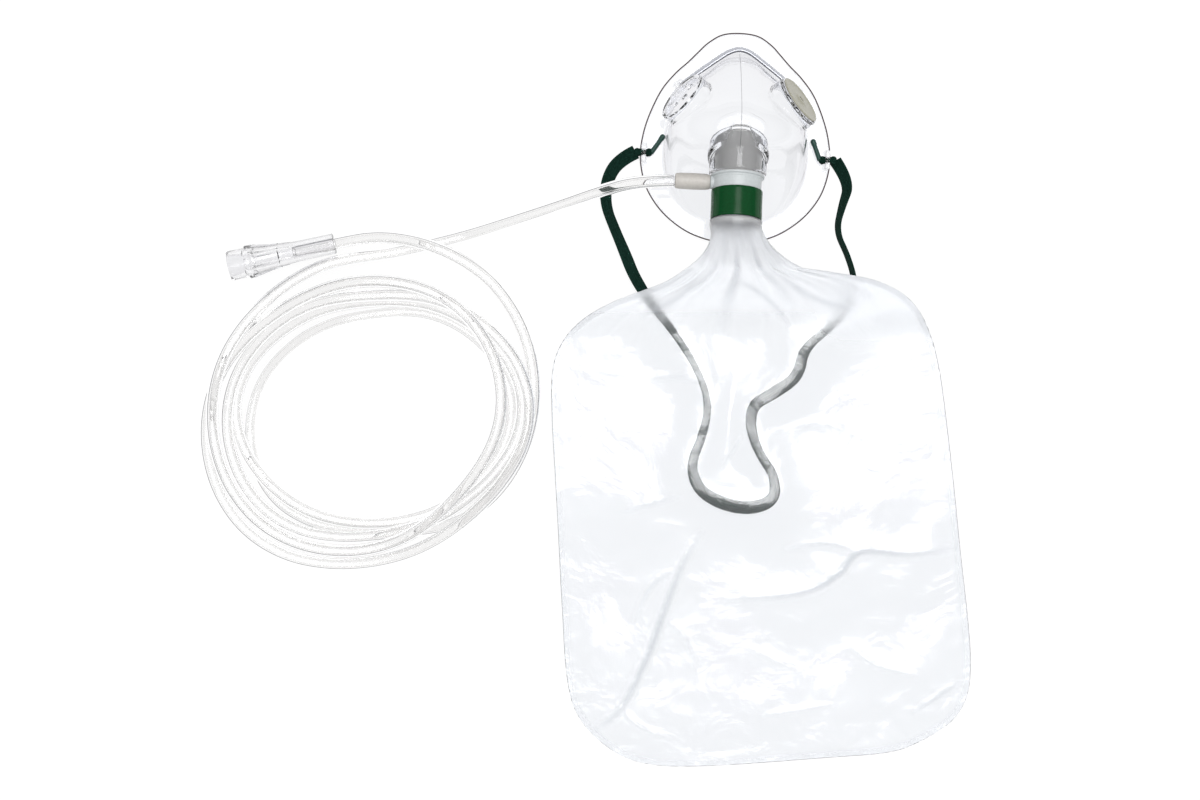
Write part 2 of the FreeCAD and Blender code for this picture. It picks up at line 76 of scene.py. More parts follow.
# the socket's and the spigot's inner ends reach further into the dome at their tops
ARCH_FROM = -8.0
ARCH_RISE = 5.0
# the dome's top is rounded over an oval: its centre and half sizes, the lowest place it takes in, its rise
CROWN_V = 10.4
CROWN_HALF = (17.0, 9.0)
CROWN_FROM = 40.0
CROWN_RISE = 1.1
RIM_HALF = [(0, 59.4), (8.5, 58.3), (15.0, 54.3), (19.5, 49.8), (24.0, 45.0), (30.0, 39.2), (36.0, 31.4),
            (40.6, 21.5), (43.6, 12.0), (45.0, 2.0), (44.2, -7.0), (41.2, -16.2), (35.6, -24.6),
            (28.5, -31.2), (20.0, -36.3), (10.0, -39.4), (0, -40.3)]

# ---- tubing: the route of the free stretches, and the coil's radii from +Y turning towards -X
TUBE_R = 3.0
TUBE_BORE_R = 2.05
LEAD_START = (-42.2, 101.3, 30.6)
TUBE_ROUTE = [(-59.4, 101.4, 29.0), (-78.4, 96.6, 22.5), (-98.4, 90.4, 12.5), (-118.4, 84.4, 5.6),
              (-138.4, 78.2, 3.1), (-158.4, 73.2, 3.1), (-174.4, 69.6, 3.1)]
COIL_CENTRE = (-183.3, -2.6)
COIL_RADII = [71.2, 68.9, 73.3, 75.4, 66.8, 57.6, 60.6, 61.2,
              58.0, 61.1, 76.3, 83.2, 73.2, 68.9, 73.9, 61.8,
              51.3, 57.9, 67.7, 70.3, 60.8, 62.2, 70.7, 58.4,
              48.9, 54.1, 65.1, 60.0, 55.1, 59.4, 65.3, 54.2,
              43.2, 46.3, 57.6, 64.6, 58.8, 69.8, 75.5, 80.4]
TAIL_ROUTE = [(-138.0, 64.0, 10.8), (-150.0, 70.4, 10.8), (-165.0, 75.4, 10.0), (-183.0, 77.4, 8.4)]
END_AT = Vector((-201.6, 73.8, 7.9))
END_TURN = math.radians(192.1)
TUBE_INSERT = 19.7
COIL_STEPS = 3
COIL_LAST_R = 79.3
TUBE_REST_Z = TUBE_R + 0.1
TURN_GAP = 0.25
# how the turns are settled: places looked at per span, the least distance along the tube between two
# places that may lie over each other, rounds, and how far a free turn sinks in each
SETTLE_SPAN = 6
SETTLE_APART = 14
SETTLE_ROUNDS = 600
SETTLE_SINK = 0.02

# ---- strap: its route from ear to ear with how far it leans over from standing on its edge, in degrees
STRAP_THICK = 1.0
STRAP_WIDE = 7.0
STRAP_ROUTE = [(-67.8, 113.6, 62), (-73.5, 103.4, 50), (-73.8, 92.0, 42), (-69.2, 80.4, 44),
               (-64.6, 69.6, 52), (-60.0, 57.8, 48), (-51.4, 44.6, 34), (-40.0, 30.4, 26),
               (-29.8, 13.6, 24), (-24.6, -1.8, 30), (-27.8, -17.0, 36), (-33.6, -30.0, 42),
               (-30.4, -42.2, 52), (-18.4, -49.4, 60), (-4.8, -51.6, 58), (6.2, -47.6, 46),
               (6.6, -36.4, 34), (-0.8, -26.0, 30), (-5.2, -14.0, 36), (-4.6, -2.4, 44),
               (6.6, 3.6, 52), (17.6, 11.2, 48), (20.0, 24.4, 40), (31.6, 33.6, 28),
               (41.6, 42.4, 18), (44.6, 55.0, 14), (41.0, 68.0, 12), (35.2, 80.0, 12),
               (38.2, 92.0, 18), (42.0, 103.0, 32)]
STRAP_END_U = 47.2
STRAP_END_LEANS = (70.0, 50.0)

# ---- bag
BAG_OUTLINE = [(-35.8, 61.5), (-45.3, 55.5), (-56.6, 51.2), (-70.4, 46.0), (-84.2, 38.2), (-93.8, 28.0),
               (-98.8, 14.0), (-99.0, -10.0), (-96.8, -50.0), (-94.3, -100.0), (-92.0, -132.0),
               (-86.4, -150.5), (-72.4, -165.0), (-54.4, -172.6), (-24.4, -173.6), (33.2, -169.6),
               (59.1, -167.4), (73.6, -163.0), (89.6, -153.2), (97.2, -142.0), (99.5, -127.0),
               (98.2, -104.0), (94.2, -70.0), (88.0, -14.0), (83.8, 16.0), (78.4, 34.0), (68.6, 47.6),
               (53.6, 55.6), (33.6, 59.4), (18.1, 61.5)]
BAG_BOTTOM = [(61.5, 19.0), (50.0, 13.6), (40.0, 10.4), (25.0, 8.4), (0, 7.9), (-30.0, 7.9), (-52.0, 7.8),
              (-75.0, 3.4), (-95.0, 0.8), (-112.0, 0.15), (-145.0, 0.1), (-176.0, 0.1)]
BAG_CORNERS = (12, 18)
BAG_GRID = (241, 281)
# how far in from the outline the seal ends, and the folds come to their full height
SEAL_EDGE = (2.0, 3.0)
CALM_EDGE = (1.8, 14.0)
# how far the film sinks beside the strap that holds it up, and over what distance
SAG_DEEP = 4.2
SAG_REACH = 13.0
SEAL_RIDGE = 0.15
TABLE_GAP = 0.12
FILMS_APART = 0.25
# the neck: its sleeve on the connector and over the lip as (along the port, radius), and its mouth
NECK_SLEEVE = [(8.0, 10.8), (12.0, 10.8), (17.0, 10.8), (21.2, 10.8), (21.7, 11.0), (22.0, 12.0),
               (23.0, 12.05), (24.0, 12.0), (24.3, 11.95)]
NECK_END_S = 24.6
NECK_R = 11.9
NECK_ROWS = 46
NECK_SLOPES = (2.8, -8.5)
MOUTH_TALL = 0.75
MOUTH_LIFT = 0.9
MOUTH_REACH = 9.0
# folds of the bag's film: points along each, its width and its height
FOLDS = [([(-29.2, -63.0), (-38.0, -78.9), (-46.8, -101.7), (-53.9, -121.1), (-66.2, -145.7),
           (-78.5, -156.3)], 6.0, 2.4),
         ([(-38.0, -78.9), (-52.0, -88.0), (-60.0, -104.0)], 4.0, 0.9),
         ([(-46.8, -101.7), (-36.0, -112.0), (-30.0, -128.0)], 4.5, 0.8),
         ([(-66.2, -145.7), (-58.0, -154.0), (-44.0, -160.0)], 4.0, 1.0),
         ([(93.9, -70.1), (69.3, -72.7), (46.4, -71.5), (35.9, -82.4), (18.3, -91.2), (-16.9, -94.7)],
          6.0, 2.2),
         ([(46.4, -71.5), (30.0, -68.0), (12.0, -70.0)], 4.0, 0.9),
         ([(-82.0, 14.3), (-52.1, 11.7), (-13.4, 10.0)], 6.0, 0.8),
         ([(4.2, -15.5), (28.8, -10.3), (48.2, -17.3), (66.6, -19.0)], 5.0, 1.0),
         ([(42.9, -115.8), (53.4, -124.6), (72.8, -129.9)], 4.0, 1.1),
         ([(-6.4, -115.8), (18.3, -128.2)], 4.0, 0.8),
         ([(95.0, -133.4), (72.8, -147.5)], 4.0, 1.0),
         ([(0.7, -149.2), (32.3, -144.0)], 4.0, 0.8),
         ([(-39.8, -45.5), (-64.4, -52.5)], 4.0, 0.8),
         ([(-9.9, -17.3), (-18.7, -31.4)], 3.0, 0.7),
         ([(-13.4, 56.6), (-1.1, 50.0), (7.7, 42.0), (14.7, 30.9)], 4.0, 1.1),
         ([(-30.0, 57.0), (-40.0, 48.0), (-56.0, 40.0)], 5.0, 1.0),
         ([(10.0, 56.0), (24.0, 48.0), (44.0, 42.0)], 5.0, 1.1)]
# slow waves of the film: length, direction, height, phase
WAVES = [(74.0, 0.5, 0.55, 0.3), (47.0, 1.9, 0.35, 1.2), (31.0, 2.7, 0.18, 2.6), (19.0, 0.9, 0.09, 4.4)]


# ---- small tools --------------------------------------------------------------

def in_mask(u, v, z):
    """A place of the mask group in the frame of the part, in millimetres."""
    c, s = math.cos(MASK_TURN), math.sin(MASK_TURN)
    return Vector((MASK_PLACE[0] + u * c - v * s, MASK_PLACE[1] + u * s + v * c, z))


def mask_way(u, v, z):
    """A direction of the mask group in the frame of the part."""
    return (in_mask(u, v, z) - in_mask(0, 0, 0)).normalized()


PORT_AXIS = mask_way(0, -math.cos(PORT_RISE), math.sin(PORT_RISE))


def port_point(s):
    return in_mask(*PORT_AT) + PORT_AXIS * s


def vent_way(side):
    flat = math.cos(VENT_RISE)
    u = side * math.cos(VENT_PLAN_ANGLE) * flat
    return mask_way(u, math.sin(VENT_PLAN_ANGLE) * flat, math.sin(VENT_RISE))


def vent_point(side, out):
    return in_mask(side * VENT_AT[0], VENT_AT[1], VENT_AT[2]) + vent_way(side) * out


def both_sides(half):
    """A line across the mask from its half on one side."""
    return half + [(-u, v) for u, v in reversed(half)]


def smooth_line(points, per_span, closed=False):
    """Points of a smooth line through the given ones, a Catmull-Rom curve."""
    p = np.array(points, float)
    n = len(p)
    if closed:
        wrapped = np.vstack([p[-1:], p, p[:2]])
        spans = n
    else:
        wrapped = np.vstack([2 * p[:1] - p[1:2], p, 2 * p[-1:] - p[-2:-1]])
        spans = n - 1
    out = []
    for i in range(spans):
        a, b, c, d = wrapped[i:i + 4]
        for k in range(per_span):
            t = k / per_span
            out.append(0.5 * (2 * b + (c - a) * t + (2 * a - 5 * b + 4 * c - d) * t ** 2
                              + (3 * b - a - 3 * c + d) * t ** 3))
    if not closed:
        out.append(p[-1])
    return np.array(out)


def in_scene(made):
    bpy.context.scene.collection.objects.link(made)
    return made


def make_mesh(name, verts, faces, material, smooth_angle=None):
    """A new object from millimetre points; edges sharper than smooth_angle degrees stay sharp."""
    mesh = bpy.data.meshes.new(name)
    places = [tuple(float(x) * MM for x in v) for v in verts]
    mesh.from_pydata(places, [], [tuple(map(int, f)) for f in faces])
    mesh.validate()
    for polygon in mesh.polygons:
        polygon.use_smooth = True
    if smooth_angle is not None:
        mesh.set_sharp_from_angle(angle=math.radians(smooth_angle))
    if material:
        mesh.materials.append(material)
    return in_scene(bpy.data.objects.new(name, mesh))


def apply_modifiers(made):
    bpy.context.view_layer.update()
    graph = bpy.context.evaluated_depsgraph_get()
    mesh = bpy.data.meshes.new_from_object(made.evaluated_get(graph))
    made.modifiers.clear()
    made.data = mesh
    return made


def grid_faces(rows, columns, closed_rows=False, closed_columns=False):
    faces = []
    for r in range(rows if closed_rows else rows - 1):
        below = (r + 1) % rows
        for c in range(columns if closed_columns else columns - 1):
            after = (c + 1) % columns
            faces.append((r * columns + c, r * columns + after, below * columns + after, below * columns + c))
    return faces


def frames_along(path, up=None):
    """Tangent, side and up at each point of a path; with no up given, the sides are carried along."""
    p = np.array(path, float)
    tangent = np.gradient(p, axis=0)
    tangent /= np.linalg.norm(tangent, axis=1)[:, None]
    if up is not None:
        side = np.cross(tangent, np.array(up, float))
        side /= np.linalg.norm(side, axis=1)[:, None]
        return tangent, side, np.cross(side, tangent)
    side = np.zeros_like(p)
    first = np.cross(tangent[0], (0, 0, 1.0))
    side[0] = first / np.linalg.norm(first)
    for i in range(1, len(p)):
        carried = side[i - 1] - tangent[i] * (side[i - 1] @ tangent[i])
        side[i] = carried / np.linalg.norm(carried)
    return tangent, side, np.cross(side, tangent)


def swept(path, section, up=None):
    """Rings of points: the section's (across, upward) points at each point of the path."""
    tangent, side, above = frames_along(path, up)
    section = np.array(section, float)
    p = np.array(path, float)
    return (p[:, None] + section[None, :, :1] * side[:, None] + section[None, :, 1:] * above[:, None])


def circle(radius, sides):
    angle = np.linspace(0, 2 * math.pi, sides, endpoint=False)
    return np.stack([radius * np.cos(angle), radius * np.sin(angle)], axis=1)


def rod_faces(rows, sides):
    """Faces of a solid swept rod: its skin and its two flat ends."""
    ends = [tuple(reversed(range(sides))), tuple(range((rows - 1) * sides, rows * sides))]
    return grid_faces(rows, sides, closed_columns=True) + ends


def capped_tube(name, path, radius, sides, material):
    """A solid round rod along a path, with flat ends."""
    verts = swept(path, circle(radius, sides)).reshape(-1, 3)
    return make_mesh(name, verts, rod_faces(len(path), sides), material, 60)


def rounded(profile, radius, steps=4, closed=True):
    """The profile's corners rounded off by short arcs."""
    points = [Vector(p).to_2d() for p in profile]
    count = len(points)
    out = []
    for i, here in enumerate(points):
        if not closed and i in (0, count - 1):
            out.append(tuple(here))
            continue
        before = points[i - 1] - here
        after = points[(i + 1) % count] - here
        reach = min(radius, 0.45 * before.length, 0.45 * after.length)
        a = here + before.normalized() * reach
        b = here + after.normalized() * reach
        for k in range(steps + 1):
            t = k / steps
            out.append(tuple(a * (1 - t) ** 2 + here * (2 * t * (1 - t)) + b * t ** 2))
    return out


def lathe(name, profile, origin, axis, material, segments=96, shape=None, smooth_angle=35):
    """Turns a closed profile of (along the axis, radius) about the axis; shape(angle, s, r) may alter r."""
    axis = Vector(axis).normalized()
    side = axis.cross(Vector((0, 0, 1))).normalized()
    up = side.cross(axis)
    origin = Vector(origin)
    verts = []
    for i in range(segments):
        angle = 2 * math.pi * i / segments
        out = side * math.cos(angle) + up * math.sin(angle)
        for s, r in profile:
            radius = shape(angle, s, r) if shape else r
            verts.append(origin + axis * s + out * radius)
    faces = grid_faces(segments, len(profile), closed_rows=True, closed_columns=True)
    return make_mesh(name, verts, faces, material, smooth_angle)


def settle_piece(made, body, slot, *nodes):
    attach(made, body)
    if nodes:
        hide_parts(*nodes)
    return made


# ---- materials ------------------------------------------------------------------

def new_material(name):
    material = bpy.data.materials.new(name)
    material.use_nodes = True
    tree = material.node_tree
    tree.nodes.clear()
    return material, tree


def node(tree, kind, **values):
    made = tree.nodes.new(kind)
    for key, value in values.items():
        if hasattr(made, key):
            setattr(made, key, value)
        else:
            made.inputs[key.replace("_", " ")].default_value = value
    return made


def fine_bump(tree, shader, scale, strength, distance, detail=3.0):
    """Small relief in the object's own coordinates."""
    place = node(tree, "ShaderNodeTexCoord")
    grain = node(tree, "ShaderNodeTexNoise", Scale=scale, Detail=detail)
    bump = node(tree, "ShaderNodeBump", Strength=strength, Distance=distance)
    tree.links.new(place.outputs["Object"], grain.inputs["Vector"])
    tree.links.new(grain.outputs["Fac"], bump.inputs["Height"])
    tree.links.new(bump.outputs["Normal"], shader.inputs["Normal"])
    return grain


def colour_ramp(tree, source, target, first, last):
    """Turns a value into a colour between two (position, colour) stops."""
    ramp = node(tree, "ShaderNodeValToRGB")
    for stop, (position, colour) in zip(ramp.color_ramp.elements, (first, last)):
        stop.position = position
        stop.color = (*colour, 1)
    tree.links.new(source, ramp.inputs["Fac"])
    tree.links.new(ramp.outputs["Color"], target)


def lit_through(tree, surface, shade):
    """Ends a clear material: the lamps' shadow rays pass it with this colour left."""
    through = node(tree, "ShaderNodeBsdfTransparent", Color=(*shade, 1))
    path = node(tree, "ShaderNodeLightPath")
    mix = node(tree, "ShaderNodeMixShader")
    out = node(tree, "ShaderNodeOutputMaterial")
    tree.links.new(path.outputs["Is Shadow Ray"], mix.inputs["Fac"])
    tree.links.new(surface, mix.inputs[1])
    tree.links.new(through.outputs[0], mix.inputs[2])
    tree.links.new(mix.outputs[0], out.inputs["Surface"])


def scaled(tree, source, factor, base):
    """A value times a factor, plus a number or another value."""
    made = node(tree, "ShaderNodeMath", operation="MULTIPLY_ADD")
    made.inputs[1].default_value = factor
    tree.links.new(source, made.inputs[0])
    if isinstance(base, float):
        made.inputs[2].default_value = base
    else:
        tree.links.new(base, made.inputs[2])
    return made.outputs[0]


def clear_material(name, colour, edge, roughness, ior=1.45, shade=0.92, bump=0.0, scale=60.0):
    """Clear plastic with painted shade at its edges: its colour darkens where it is seen edge-on, standing in
    for the dark surroundings that its edges refract; it lets the lamps' light through.
    """
    material, tree = new_material(name)
    glass = node(tree, "ShaderNodeBsdfPrincipled", Roughness=roughness, IOR=ior, Transmission_Weight=1.0)
    facing = node(tree, "ShaderNodeLayerWeight", Blend=0.5)
    # painted shade: the edge colour darkens the plastic at grazing angles, for the dark lines along its edges
    colour_ramp(tree, facing.outputs["Facing"], glass.inputs["Base Color"], (0.35, colour), (1.0, edge))
    if bump:
        fine_bump(tree, glass, scale, bump, 0.0004)
    lit_through(tree, glass.outputs[0], (shade, shade, shade))
    return material


def film_material(name):
    """Thin slightly hazy film: whitened where it is sealed, hazier where it is folded, with painted shade
    that darkens the haze along the folds and pleat valleys; clear enough to see the strap.
    """
    material, tree = new_material(name)
    link = tree.links.new
    fold_and_shade, seal, loose = [node(tree, "ShaderNodeAttribute", attribute_name=label).outputs["Fac"]
                         for label in ("fold_and_shade", "seal", "loose")]
    glass = node(tree, "ShaderNodeBsdfPrincipled", Base_Color=(0.966, 0.976, 0.990, 1), IOR=1.4,
                 Transmission_Weight=1.0)
    glass.inputs["Specular IOR Level"].default_value = 0.2
    link(scaled(tree, loose, 0.66, 0.12), glass.inputs["Roughness"])
    haze = node(tree, "ShaderNodeBsdfPrincipled", Roughness=0.35, IOR=1.45)
    # painted shade: the haze turns from its pale colour to a darker grey along the folds
    haze_with_crease_shade = node(tree, "ShaderNodeMix", data_type="RGBA")
    haze_with_crease_shade.inputs["A"].default_value = (0.93, 0.95, 0.98, 1)
    haze_with_crease_shade.inputs["B"].default_value = (0.66, 0.69, 0.73, 1)
    link(fold_and_shade, haze_with_crease_shade.inputs["Factor"])
    link(haze_with_crease_shade.outputs["Result"], haze.inputs["Base Color"])
    folded_haze_and_shade = scaled(tree, fold_and_shade, 0.20, 0.008)
    sealed = scaled(tree, seal, 0.16, folded_haze_and_shade)
    mix = node(tree, "ShaderNodeMixShader")
    link(scaled(tree, loose, 0.14, sealed), mix.inputs["Fac"])
    link(glass.outputs[0], mix.inputs[1])
    link(haze.outputs[0], mix.inputs[2])
    place = node(tree, "ShaderNodeTexCoord")
    grain = node(tree, "ShaderNodeTexNoise", Scale=46.0, Detail=4.0, Roughness=0.55, Distortion=0.8)
    bump = node(tree, "ShaderNodeBump", Strength=0.55, Distance=0.0022)
    link(place.outputs["Object"], grain.inputs["Vector"])
    link(grain.outputs["Fac"], bump.inputs["Height"])
    link(bump.outputs["Normal"], glass.inputs["Normal"])
    link(bump.outputs["Normal"], haze.inputs["Normal"])
    lit_through(tree, mix.outputs[0], (0.98, 0.98, 0.985))
    return material


def solid_material(name, low, high, roughness, bump=0.1, metallic=0.0, subsurface=0.0, gloss=0.5):
    """Opaque material with a fine grain between two colours."""
    material, tree = new_material(name)
    shader = node(tree, "ShaderNodeBsdfPrincipled", Roughness=roughness, Metallic=metallic,
                  Subsurface_Weight=subsurface)
    shader.inputs["Specular IOR Level"].default_value = gloss
    shader.inputs["Subsurface Radius"].default_value = (0.004, 0.004, 0.004)
    grain = fine_bump(tree, shader, 900.0, bump, 0.0002)
    colour_ramp(tree, grain.outputs["Fac"], shader.inputs["Base Color"], (0.3, low), (0.7, high))
    out = node(tree, "ShaderNodeOutputMaterial")
    tree.links.new(shader.outputs[0], out.inputs["Surface"])
    return material


MATERIALS = {
    # the second colour of each clear material is painted shade that darkens it where it is seen edge-on
    "clear_pvc": clear_material("clear_pvc", (0.945, 0.955, 0.978), (0.66, 0.64, 0.68), 0.02, ior=1.34,
                                shade=0.97, bump=0.05, scale=40),
    # rim: painted shade, the dark line drawn round the mask's clear rim
    "rim": solid_material("rim", (0.045, 0.024, 0.028), (0.07, 0.04, 0.045), 0.5, gloss=0.2),
    "mould": solid_material("mould", (0.22, 0.22, 0.24), (0.26, 0.26, 0.28), 0.4),
    "clear_tube": clear_material("clear_tube", (0.955, 0.953, 0.951), (0.20, 0.195, 0.19), 0.05, shade=0.97),
    "clear_connector": clear_material("clear_connector", (0.93, 0.93, 0.94), (0.34, 0.33, 0.35), 0.1),
    "bag_film": film_material("bag_film"),
    "aluminium": solid_material("aluminium", (0.50, 0.51, 0.55), (0.60, 0.61, 0.65), 0.3, metallic=1.0),
    # painted shade: darkened aluminium for the line along the clip strip's inner side
    "aluminium_painted_shade": solid_material("aluminium_painted_shade", (0.10, 0.10, 0.12), (0.15, 0.15, 0.17), 0.4,
                                     metallic=0.6),
    "grey_silicone": solid_material("grey_silicone", (0.33, 0.32, 0.25), (0.38, 0.37, 0.30), 0.35),
    "frosted_plastic": solid_material("frosted_plastic", (0.50, 0.535, 0.54), (0.56, 0.59, 0.60), 0.38),
    # a lighter copy of the frosted plastic: painted light on the spigot, which sits in the clear socket's
    # shade; the lip end takes it too
    "frosted_painted_light": solid_material("frosted_painted_light", (0.74, 0.735, 0.72), (0.78, 0.775, 0.76), 0.45,
                                     gloss=0.3),
    "beige_cuff": solid_material("beige_cuff", (0.50, 0.475, 0.445), (0.56, 0.535, 0.50), 0.4,
                                 subsurface=0.2),
    "green_band": solid_material("green_band", (0.0, 0.045, 0.009), (0.0, 0.055, 0.012), 0.2, gloss=0.16,
                                 bump=0.05),
    "green_elastic": solid_material("green_elastic", (0.002, 0.016, 0.010), (0.006, 0.030, 0.021), 0.85,
                                    gloss=0.1),
    "green_tip": solid_material("green_tip", (0.012, 0.050, 0.040), (0.018, 0.07, 0.055), 0.3, gloss=0.4),
}


# ---- tubing ---------------------------------------------------------------------

def nurbs_line(points, resolution):
    """The points of a smooth NURBS line with the given ones as its control points, in millimetres."""
    curve = bpy.data.curves.new("route", "CURVE")
    curve.dimensions = "3D"
    spline = curve.splines.new("NURBS")
    spline.points.add(len(points) - 1)
    for point, place in zip(spline.points, points):
        point.co = (place[0] * MM, place[1] * MM, place[2] * MM, 1)
    spline.order_u = 3
    spline.use_endpoint_u = True
    spline.resolution_u = resolution
    holder = bpy.data.objects.new("route", curve)
    mesh = bpy.data.meshes.new_from_object(holder)
    line = np.array([v.co for v in mesh.vertices]) / MM
    bpy.data.meshes.remove(mesh)
    bpy.data.objects.remove(holder)
    bpy.data.curves.remove(curve)
    return line


def coil_points():
    """Control points of the coil's five turns."""
    eighths = np.array(COIL_RADII + [COIL_LAST_R])
    radii = smooth_line(eighths[:, None], COIL_STEPS)[:-1, 0]
    step = 2 * math.pi / (8 * COIL_STEPS)
    outward = 1 / (0.75 + 0.25 * math.cos(step))
    points = []
    for i, radius in enumerate(radii):
        angle = math.pi / 2 + step * i
        points.append((COIL_CENTRE[0] + outward * radius * math.cos(angle),
                       COIL_CENTRE[1] + outward * radius * math.sin(angle), TUBE_REST_Z))
    return points[1:-2]


def spline_weights(count, per_span):
    """Matrix that turns control heights into heights along the spline."""
    rows = []
    for i in range(1, count - 1):
        for k in range(per_span):
            t = (k + 0.5) / per_span
            row = np.zeros(count)
            row[i - 1:i + 2] = (1 - t) ** 2 / 2, 0.5 + t - t * t, t * t / 2
            rows.append(row)
    return np.array(rows)


def settle_heights(points, first_free, last_free):
    """Lays the turns on the table and over each other: an earlier turn lies over a later one."""
    p = np.array(points, float)
    weights = spline_weights(len(p), SETTLE_SPAN)
    fine = weights @ p[:, :2]
    n = len(fine)
    gap = 2 * TUBE_R + TURN_GAP
    away = np.linalg.norm(fine[:, None] - fine[None], axis=2)
    later = np.arange(n)[None] - np.arange(n)[:, None] > SETTLE_APART
    upper, lower = np.where((away < gap) & later)
    need = np.sqrt(gap ** 2 - away[upper, lower] ** 2)
    share = weights.sum(0) + 1e-9
    tail = lower > (last_free - 1) * SETTLE_SPAN
    upper, lower = np.where(tail, lower, upper), np.where(tail, upper, lower)
    free = np.zeros(len(p), bool)
    free[first_free:last_free] = True
    z = p[:, 2].copy()
    for _ in range(SETTLE_ROUNDS):
        eased = z.copy()
        eased[1:-1] = 0.25 * z[:-2] + 0.5 * z[1:-1] + 0.25 * z[2:]
        z[free] = np.maximum(eased[free] - SETTLE_SINK, TUBE_REST_Z)
        height = weights @ z
        push = np.zeros(n)
        np.maximum.at(push, upper, height[lower] + need - height[upper])
        z[free] += ((weights.T @ push) / share)[free]
    p[:, 2] = z
    return p


def tube_route():
    ahead = Vector((math.cos(END_TURN), math.sin(END_TURN), 0))
    before = [LEAD_START] + TUBE_ROUTE
    after = TAIL_ROUTE + [tuple(END_AT), tuple(END_AT + ahead * TUBE_INSERT)]
    coil = coil_points()
    points = before + coil + after
    return settle_heights(points, len(before), len(before) + len(coil))


def supply_tube():
    """The whole tube as one hollow mesh."""
    path = nurbs_line(tube_route(), 8)
    sides = 20
    outer = swept(path, circle(TUBE_R, sides)).reshape(-1, 3)
    inner = swept(path, circle(TUBE_BORE_R, sides)).reshape(-1, 3)
    count = len(path)
    faces = grid_faces(count, sides, closed_columns=True)
    shift = count * sides
    faces += [tuple(shift + i for i in reversed(face)) for face in faces[:]]
    last = (count - 1) * sides
    for i in range(sides):
        j = (i + 1) % sides
        faces.append((i, shift + i, shift + j, j))
        faces.append((last + j, shift + last + j, shift + last + i, last + i))
    made = make_mesh("supply_tube", np.vstack([outer, inner]), faces, MATERIALS["clear_tube"], 60)
    length = float(np.linalg.norm(np.diff(path, axis=0), axis=1).sum())
    print("tube length", length, "heights", path[:, 2].min(), path[:, 2].max())
    return made, path


# ---- strap ----------------------------------------------------------------------

def strap_path():
    """Points of the strap's middle line with its lean in radians."""
    ends = [in_mask(side * STRAP_END_U, *EAR_AT[1:]) for side in (-1, 1)]
    leans = [STRAP_END_LEANS[0]] + [lean for x, y, lean in STRAP_ROUTE] + [STRAP_END_LEANS[1]]
    points = [tuple(ends[0])]
    for x, y, lean in STRAP_ROUTE:
        turn = math.radians(lean)
        points.append((x, y, 0.25 + (STRAP_WIDE * math.cos(turn) + STRAP_THICK * math.sin(turn)) / 2))
    points.append(tuple(ends[1]))
    line = nurbs_line(points, 8)
    at = np.linspace(0, len(leans) - 1, len(line))
    return line, np.radians(np.interp(at, np.arange(len(leans)), leans))


def strap_section():
    """Ribbed flat section: five round cords side by side, over and under."""
    ribs = 5
    per_rib = 6
    wide = STRAP_WIDE - 0.3
    over = []
    for i in range(ribs * per_rib + 1):
        across = (i / (ribs * per_rib) - 0.5) * wide
        bulge = abs(math.sin(math.pi * i / per_rib))
        over.append((across, 0.32 + 0.18 * bulge))
    under = [(across, -up) for across, up in reversed(over)]
    return over + [(wide / 2 + 0.15, 0)] + under + [(-wide / 2 - 0.15, 0)]


def head_strap():
    line, leans = strap_path()
    tangent, side, above = frames_along(line, (0, 0, 1))
    verts = []
    section = strap_section()
    for i, point in enumerate(line):
        turn = leans[i]
        wide_way = above[i] * math.cos(turn) + side[i] * math.sin(turn)
        thin_way = side[i] * math.cos(turn) - above[i] * math.sin(turn)
        for across, up in section:
            verts.append(point + wide_way * across + thin_way * up)
    count = len(section)
    faces = grid_faces(len(line), count, closed_columns=True)
    faces += [tuple(range(count)), tuple(reversed(range((len(line) - 1) * count, len(line) * count)))]
    made = make_mesh("head_strap_band", verts, faces, MATERIALS["green_elastic"], 60)
    length = float(np.linalg.norm(np.diff(line, axis=0), axis=1).sum())
    print("strap length", length)
    return made, line


# ---- bag ------------------------------------------------------------------------

def bag_bottom(y):
    """Height of the bag's underside over the table along Y."""
    fine = smooth_line(sorted(BAG_BOTTOM), 8)
    return np.interp(y, fine[:, 0], fine[:, 1])


def even_line(points, shares):
    """Points of a line at the given shares of its length."""
    step = np.linalg.norm(np.diff(points, axis=0), axis=1)
    along = np.concatenate([[0], np.cumsum(step)]) / step.sum()
    return np.stack([np.interp(shares, along, points[:, k]) for k in range(points.shape[1])], axis=1)


def bag_plan(columns, rows):
    """Grid over the bag's outline, from the mouth down, closer set towards its edges."""
    first, last = BAG_CORNERS
    line = smooth_line(BAG_OUTLINE, 8)
    s = np.linspace(0, 1, columns)
    across = 0.5 * s + 0.25 * (1 - np.cos(math.pi * s))
    t = np.linspace(0, 1, rows)
    down = 0.55 * t + 0.45 * np.sin(math.pi / 2 * t)
    left = even_line(line[:first * 8 + 1], down)
    bottom = even_line(line[first * 8:last * 8 + 1], across)
    right = even_line(line[last * 8:][::-1], down)
    top = even_line(np.array([line[0], line[-1]]), across)
    u, v = across[None, :, None], down[:, None, None]
    grid = (1 - v) * top[None] + v * bottom[None] + (1 - u) * left[:, None] + u * right[:, None]
    grid -= ((1 - u) * (1 - v) * top[0] + u * (1 - v) * top[-1]
             + (1 - u) * v * bottom[0] + u * v * bottom[-1])
    return grid, across


